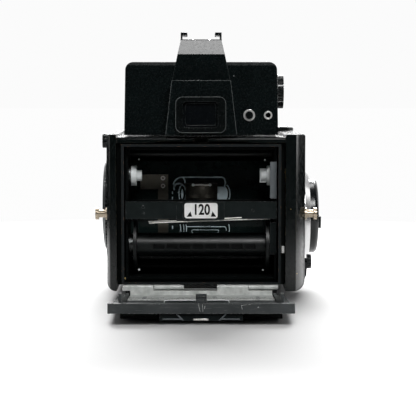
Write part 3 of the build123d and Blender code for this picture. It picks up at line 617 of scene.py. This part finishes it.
def printed(name, text, height, placement, look, body, squeeze=1.0, weight=0.0):
    """Number printed on a surface; placement maps its plane, in metres, into the frame."""
    data = bpy.data.curves.new(name, "FONT")
    data.body = text
    data.size = height * 1.42 * MM
    data.align_x, data.align_y = "CENTER", "CENTER"
    data.extrude = 0.03 * MM
    data.offset = weight * MM
    mesh = from_curve(name, data)
    mesh.transform(placement @ Matrix.Diagonal((squeeze, 1, 1, 1)))
    return add_piece(name, mesh, look, body)


def facing_rear(x, depth, z):
    """Plane seen from behind: its X to the right, its Y up."""
    return Matrix.Translation(at(x, depth, z)) @ Matrix.Rotation(math.radians(90), 4, "X")


def screw_mesh(name, centre, axis, radius=1.3):
    """Low domed head that rises along one axis."""
    profile = [(0, 0.02), (0, radius), (0.25, radius * 0.92), (0.38, radius * 0.5), (0.38, 0.02)]
    return turned(name, profile, axis, centre, 24)


# ------------------------------------------------------------------ film insert details

def ellipse(cx, cz, rx, rz, start=0, end=360, steps=28):
    points = []
    for k in range(steps + 1):
        angle = math.radians(start + (end - start) * k / steps)
        points.append((cx + rx * math.cos(angle), cz + rz * math.sin(angle)))
    return points


INK_DEPTH = 28.15


def ink_line(name, points, width=0.34):
    wire(name, [at(x, INK_DEPTH, z) for x, z in points], width, "ink_blue", "film_insert")


def loading_diagram():
    """Printed drawing of a roll and its spool on the glossy back plate."""
    ink_line("diagram_top", [(-9.6, 57.0)] + ellipse(10.2, 54.2, 1.9, 2.8, 90, 0, 8) + [(11.6, 52.2)])
    leader = ellipse(-9.6, 54.0, 1.5, 3.0, 0, 90, 8) + ellipse(-9.6, 52.0, 4.6, 5.0, 100, 165, 8)
    ink_line("diagram_leader", leader)
    ink_line("diagram_curl", ellipse(-11.2, 51.6, 2.5, 2.3, 30, 210, 14), 0.42)
    ink_line("diagram_end", ellipse(-9.5, 48.8, 1.7, 4.2)[:-1] + [(-7.8, 48.8)], 0.26)
    ink_line("diagram_flange", ellipse(12.0, 48.6, 2.4, 4.7, 72, -72, 16), 0.3)
    for k, (low, high) in enumerate(((48.6, 50.0), (45.3, 47.2), (31.0, 32.6))):
        ink_line(f"diagram_dash_{k}", [(-14.4, low), (-14.4, high)], 0.3)
    drum = [(8.0, 44.8), (11.8, 44.8)] + ellipse(11.4, 48.6, 1.9, 3.8, -70, 70, 12) + [(8.0, 52.4)]
    core = ellipse(-9.5, 48.7, 0.55, 2.5)[:-1]
    for name, outline in (("diagram_drum", drum), ("diagram_core", core)):
        add_piece(name, rear_plate(name, outline, (INK_DEPTH - 0.1, INK_DEPTH)), "ink_blue", "film_insert")
    ink_line("diagram_low", [(-7.6, 32.1), (11.6, 32.1)] + ellipse(11.6, 30.4, 1.0, 1.7, 60, -10, 5), 0.2)
    ink_line("diagram_slot", rectangle((-4.7, 8.7), (29.1, 30.5), 0.5, 3), 0.14)
    for k, x in enumerate((-10.8, -9.2, -7.9, 13.6)):
        ink_line(f"diagram_arc_{k}", ellipse(x, 30.8, 0.5, 2.6, 70, -30, 6), 0.22)


def bowed_leaf():
    """Curved bronze leaf in front of the drawing, with its pinned slot."""
    bow = []
    for k in range(13):
        angle = math.radians(-60 + 150 * k / 12)
        bow.append((26.95 - 1.35 * math.cos(angle), 48.5 + 5.4 * math.sin(angle)))
    front = [at(-7.8, d, z) for d, z in bow] + [at(8.0, d, z) for d, z in bow]
    count = len(bow)
    faces = [(k, k + 1, k + 1 + count, k + count) for k in range(count - 1)]
    mesh = mesh_of("bowed_leaf", front, faces, smooth=True)
    leaf = add_piece("bowed_leaf", mesh, "bronze", "film_insert")
    thick = leaf.modifiers.new("sheet", "SOLIDIFY")
    thick.thickness = 0.25 * MM
    wire("leaf_pin", [at(-4.3, 25.6, 53.3), at(4.9, 25.6, 53.3)], 0.42, "bright_pin", "film_insert")
    for k, x in enumerate((-4.0, 4.4)):
        ring(f"leaf_pin_end_{k}", 0.75, 0.02, -0.5, "Y", at(x, 25.6, 53.3), "hub_plastic", "film_insert")


def film_size_label():
    printed("label_number", "120", 5.0, facing_rear(0.1, 1.99, 42.6), "ink_black", "film_insert", 0.78, 0.2)
    for name, side, shift in (("left", 1, 0.0), ("right", -1, 0.25)):
        points = [(-7.0 * side + shift, 39.4), (-4.4 * side + shift, 39.4), (-5.2 * side + shift, 42.0)]
        mesh = rear_plate(f"label_mark_{name}", points, (1.97, 2.05))
        add_piece(f"label_mark_{name}", mesh, "ink_black", "film_insert")
    frame_line = [at(x, 2.28, z) for x, z in rectangle((-8.75, 8.35), (37.95, 46.65), 0.9)]
    wire("label_holder_edge", frame_line, 0.16, "band_metal", "film_insert", cyclic=True)
    for side, x in (("left", (-12.0, -8.8)), ("right", (8.4, 11.2))):
        mesh = rear_plate(f"label_wing_{side}", rectangle(x, (37.8, 46.4), 0.5), (2.5, 2.85))
        add_piece(f"label_wing_{side}", mesh, "band_metal", "film_insert", 0.08)


def insert_details():
    loading_diagram()
    bowed_leaf()
    film_size_label()
    for name, radius, depth, points in (("band_wire", 0.3, 3.2, ((-25.2, 36.2), (-4, 37.1), (33.0, 38.3))),
                                        ("band_wire_upper", 0.16, 3.6, ((-25.4, 36.9), (-12.0, 37.4))),
                                        ("band_wire_short", 0.3, 2.6, ((11.3, 38.5), (19.5, 38.9)))):
        wire(name, [at(x, depth, z) for x, z in points], radius, "bright_pin", "film_insert")
    for k, (x, z) in enumerate(((-30.5, 66.6), (31.2, 66.2), (-30.6, 12.2), (30.4, 12.0))):
        ring(f"end_pin_{k}", 0.55, 0.02, -0.6, "Y", at(x, 14.6, z), "hub_plastic", "film_insert", 0.1)
    for name, z, look in (("upper", (47.9, 65.8), "bar_grey"), ("lower", (20.6, 36.4), "latch_metal")):
        mesh = rear_plate(f"side_bar_{name}", rectangle((33.3, 36.5), z, 0.4), (5.0, 5.95))
        add_piece(f"side_bar_{name}", mesh, look, "film_insert", 0.15)
    for k, z in enumerate((58.6, 24.5)):
        ring(f"bearing_ring_{k}", 5.4, 3.6, 1.1, "X", at(-35.3, 15.5, z), "roller_metal", "film_insert")
    for k, z in enumerate((52.7, 56.6)):
        place_at = at(-19.1, 26.98, z)
        ring(f"strip_rivet_{k}", 1.15, 0.5, -0.25, "Y", place_at, "bright_pin", "film_insert", 0.08)
    for k, (x, z) in enumerate(((-28.0, 41.0), (-28.0, 44.0), (25.0, 42.4))):
        ring(f"band_rivet_{k}", 0.8, 0.02, -0.2, "Y", at(x, 2.78, z), "band_metal", "film_insert", 0.1)


# ------------------------------------------------------------------ finder details

def finder_details():
    ring("release_socket_ring", 2.8, 1.86, -0.8, "Y", at(23.1, 5.0, 88.2), "chrome", "prism_finder")
    ring("switch_ring", 2.05, 1.25, -0.8, "Y", at(32.2, 5.0, 88.2), "chrome", "prism_finder")
    # The eyepiece_edge and hood_edge wires are painted highlights: light lines along the rounded edges of
    # the eyepiece frame and the hood.
    frame_edge = [at(x, -3.5, z) for x, z in rectangle((-12.1, 11.7), (80.0, 96.9), 3.0)]
    wire("eyepiece_edge", frame_edge, 0.14, "edge_glint", "prism_finder", cyclic=True)
    corners = ((-16.9, 79.2), (-14.0, 104.7), (14.0, 104.7), (16.9, 79.2))
    hood_edge = [at(x, -1.5, z) for x, z in corners]
    wire("hood_edge", hood_edge, 0.14, "edge_glint", "prism_finder")
    ring("case_pin", 0.32, 0.02, -0.25, "Y", at(15.6, 5.0, 107.0), "roller_metal", "prism_finder", 0.08)
    inner = [at(x, -1.5, z) for x, z in rectangle((-7.6, 7.0), (83.4, 93.8), 1.2)]
    wire("eyepiece_bead", inner, 0.2, "control_black", "prism_finder", cyclic=True)
    for k, x in enumerate((-9.0, 9.0)):
        mesh = screw_mesh(f"shoe_screw_{k}", at(x * 0.45, 30, 125.2), "Z", 1.2)
        add_piece(f"shoe_screw_{k}", mesh, "chrome", "prism_finder")
    for k, angle in enumerate(range(-60, 241, 30)):
        turn = math.radians(angle)
        start = at(40.52, 25 + 5.6 * math.cos(turn), 99.7 + 5.6 * math.sin(turn))
        end = at(40.52, 25 + 7.0 * math.cos(turn), 99.7 + 7.0 * math.sin(turn))
        wire(f"meter_dial_mark_{k}", [start, end], 0.12, "ink_white", "meter_dial")


# ------------------------------------------------------------------ body details

def body_details():
    ring("lock_dot", 0.5, 0.02, -0.25, "Y", at(-36.7, -0.02, 9.8), "gear_brass", "camera_body", 0.08)
    for k, (x, z) in enumerate(((43.1, 43.2), (46.2, 12.0))):
        ring(f"case_speck_{k}", 0.22, 0.02, -0.08, "Y", at(x, -0.02, z), "gear_brass", "camera_body", 0.03)
    profile = [(-1.7, 0.05), (-1.7, 0.85), (1.7, 0.85), (1.7, 0.05)]
    pin = turned("hook_pin", profile, "Z", at(39.4, 1.6, 23.5), 20)
    add_piece("hook_pin", pin, "chrome", "camera_body", 0.2)
    for k, (depth, z) in enumerate(((79.0, 68.0), (81.0, 14.0))):
        ring(f"sync_socket_{k}", 2.9, 1.7, -0.9, "X", at(-45.5, depth, z), "chrome", "camera_body")
        ring(f"sync_core_{k}", 1.1, 0.02, -0.5, "X", at(-45.5, depth, z), "control_black", "camera_body")
    for k in range(12):
        turn = 2 * math.pi * k / 12
        start = at(39.6 + 5.9 * math.cos(turn), 66 + 5.9 * math.sin(turn), 81.62)
        end = at(39.6 + 6.9 * math.cos(turn), 66 + 6.9 * math.sin(turn), 81.62)
        wire(f"shutter_mark_{k}", [start, end], 0.1, "ink_white", "shutter_dial")


# ------------------------------------------------------------------ door details

DOOR_TILT = math.radians(3.2)
PIN_HEIGHT = 5.4


def on_door(x, reach, rise):
    """Point in the door's own axes: X, distance from the hinge pin, height above it."""
    c, s = math.cos(DOOR_TILT), math.sin(DOOR_TILT)
    return at(x, -(reach * c - rise * s), PIN_HEIGHT + reach * s + rise * c)


def door_box(name, x, reach, rise, look, edge=0.1):
    plan = rectangle(x, reach)
    low, high = ([on_door(a, b, height) for a, b in plan] for height in rise)
    return add_piece(name, prism_mesh(name, low, high), look, "back_door", edge)


def door_marks():
    """Bright scrapes through the paint on the free edge."""
    face = 72.46
    strokes = (((-1.2, -1.4), (-0.5, -4.4)), ((0.5, -1.3), (0.7, -4.6)), ((1.6, -2.0), (1.4, -3.4)),
               ((17.2, -1.8), (17.6, -3.6)), ((17.3, -1.9), (19.4, -1.5)), ((20.2, -1.5), (21.2, -1.4)))
    for k, (a, b) in enumerate(strokes):
        points = [on_door(a[0], face, a[1]), on_door(b[0], face, b[1])]
        wire(f"door_scrape_{k}", points, 0.16, "bare_alloy", "back_door")
    ring("door_chip", 0.35, 0.02, -0.14, "Y", on_door(24.5, face, -2.8), "bare_alloy", "back_door", 0.02)


def door_details():
    door_marks()
    edge_points = [on_door(x, reach, -1.6) for x, reach in
                   [(-16.2, 66.8), (-16.2, 54.0), (-14.2, 51.4), (10.2, 51.4), (12.2, 54.0), (12.2, 66.8)]]
    wire("latch_cover_edge", edge_points, 0.2, "hub_plastic", "back_door")
    rivets = ((-26.6, 14.0), (0.0, 14.0), (6.2, 14.0), (26.6, 14.0), (-26.6, 21.0), (26.6, 21.0))
    for k, (x, reach) in enumerate(rivets):
        c = on_door(x, reach, -3.58)
        ring(f"leaf_rivet_{k}", 1.1, 0.02, 0.12, "Z", c, "bar_grey", "back_door", 0.05)
    for side in (-1, 1):
        name = "left" if side < 0 else "right"
        points = [on_door(side * 10.6, 71.55, -5.6), on_door(side * 7.8, 71.55, -8.5)]
        wire(f"latch_frame_{name}", points, 0.35, "bar_grey", "back_door")
        wire(f"latch_bar_{name}", [on_door(side * 16.6, 71.55, -7.9), on_door(side * 8.4, 71.55, -7.9)], 0.3,
             "bar_grey", "back_door")
    door_box("latch_tongue", (-3.4, 3.2), (70.2, 71.6), (-8.5, -7.7), "bright_pin")


# ------------------------------------------------------------------ lens details

def lens_numbers():
    """Distance and aperture scales round the barrel."""
    for ring_name, body, radius, depth, words in (
            ("aperture", "aperture_ring", 33.02, 111.9, ("2.8", "4", "5.6", "8", "11", "16", "22")),
            ("distance", "focus_ring", 34.62, 130.6, ("1", "1.2", "1.5", "2", "3", "5", "10"))):
        for k, word in enumerate(words):
            angle = math.radians(-45 + 15 * k)
            out = Vector((math.sin(angle), 0, math.cos(angle)))
            centre = at(0, depth, LENS_Z) + out * (radius * MM)
            across = Vector((-math.cos(angle), 0, math.sin(angle)))
            up = Vector((0, -1, 0))
            turn = Matrix((across, up, out)).transposed().to_4x4()
            spot = Matrix.Translation(centre) @ turn
            printed(f"{ring_name}_number_{k}", word, 1.9, spot, "ink_white", body)


def lens_details():
    lens_numbers()
    ring("filter_lip", 31.0, 29.05, -0.5, "Y", at(0, 148.0, LENS_Z), "lens_black", "focusing_group", 0.15)
    ring("front_trim", 22.5, 19.6, 0.35, "Y", at(0, 140.1, LENS_Z), "lens_black", "focusing_group", 0.1)
    ring("mount_index", 0.9, 0.02, 0.3, "Z", at(0, 103.5, 72.3), "ink_red", "lens", 0.05)


# ------------------------------------------------------------------ the scene

make_studio()
dress_nodes()
insert_details()
finder_details()
body_details()
door_details()
lens_details()
